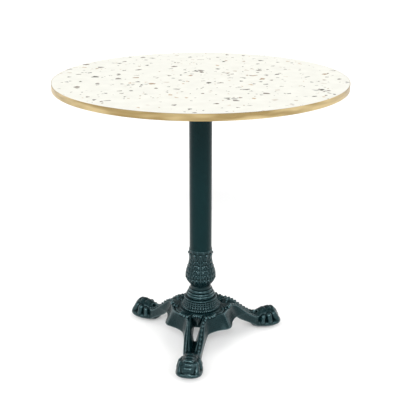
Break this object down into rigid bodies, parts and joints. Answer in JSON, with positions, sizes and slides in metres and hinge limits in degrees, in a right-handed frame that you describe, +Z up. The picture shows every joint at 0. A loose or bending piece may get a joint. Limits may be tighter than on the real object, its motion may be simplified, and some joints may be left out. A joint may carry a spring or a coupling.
{
  "type": "bistro table",
  "caption": "Round bistro table: terrazzo laminate top with brass edge band, steel column in a leafed cast vase, and a cast-iron tripod base with channelled legs, lion paws and levelling glides.",
  "frame": {"origin": "on the floor, under the middle of the round top and on the column's axis", "axes": "+Z up along the column; the legs point at -98, 22 and 142 degrees from +X"},
  "size_m": [0.75, 0.75, 0.74],
  "materials": {
    "terrazzo_laminate": "matte cream laminate with grey, brown and tan stone chips",
    "fibreboard": "raw fibreboard",
    "backing_sheet": "matte laminate",
    "brushed_brass": "brushed satin",
    "painted_iron": "dark green satin paint on cast iron",
    "painted_tube": "dark green satin paint on steel tube",
    "zinc_plated_steel": "zinc plated",
    "black_plastic": "matte moulded plastic"
  },
  "bodies": {
    "table": {"terrazzo_laminate": "terrazzo_laminate", "top_core": "fibreboard", "backing_laminate": "backing_sheet", "brass_edge_band": "brushed_brass", "top_spider": "painted_iron", "mounting_screw_1": "zinc_plated_steel", "mounting_screw_2": "zinc_plated_steel", "mounting_screw_3": "zinc_plated_steel", "mounting_screw_4": "zinc_plated_steel", "mounting_screw_5": "zinc_plated_steel", "mounting_screw_6": "zinc_plated_steel", "mounting_screw_7": "zinc_plated_steel", "mounting_screw_8": "zinc_plated_steel", "column_tube": "painted_tube", "column_vase": "painted_iron", "tie_rod": "zinc_plated_steel", "upper_nut": "zinc_plated_steel", "upper_washer": "zinc_plated_steel", "lower_nut": "zinc_plated_steel", "lower_washer": "zinc_plated_steel", "base_casting": "painted_iron"},
    "front_pad": {"glide_pad_front": "black_plastic"},
    "front_stud": {"glide_stud_front": "zinc_plated_steel"},
    "right_pad": {"glide_pad_right": "black_plastic"},
    "right_stud": {"glide_stud_right": "zinc_plated_steel"},
    "left_pad": {"glide_pad_left": "black_plastic"},
    "left_stud": {"glide_stud_left": "zinc_plated_steel"}
  },
  "joints": [
    {"name": "front_glide_travel", "type": "slide", "parent": "table", "child": "front_pad", "axis": [0, 0, -1], "range_m": [0, 0.008]},
    {"name": "front_glide_turn", "type": "hinge", "parent": "front_pad", "child": "front_stud", "pos_m": [-0.02811, -0.20003, 0], "axis": [0, 0, -1], "range_deg": [0, 2304]},
    {"name": "right_glide_travel", "type": "slide", "parent": "table", "child": "right_pad", "axis": [0, 0, -1], "range_m": [0, 0.008]},
    {"name": "right_glide_turn", "type": "hinge", "parent": "right_pad", "child": "right_stud", "pos_m": [0.18729, 0.07567, 0], "axis": [0, 0, -1], "range_deg": [0, 2304]},
    {"name": "left_glide_travel", "type": "slide", "parent": "table", "child": "left_pad", "axis": [0, 0, -1], "range_m": [0, 0.008]},
    {"name": "left_glide_turn", "type": "hinge", "parent": "left_pad", "child": "left_stud", "pos_m": [-0.15918, 0.12436, 0], "axis": [0, 0, -1], "range_deg": [0, 2304]}
  ],
  "couplings": [
    {"joint": "front_glide_turn", "follows": "front_glide_travel", "rad_per_m": 5026.5},
    {"joint": "right_glide_turn", "follows": "right_glide_travel", "rad_per_m": 5026.5},
    {"joint": "left_glide_turn", "follows": "left_glide_travel", "rad_per_m": 5026.5}
  ]
}
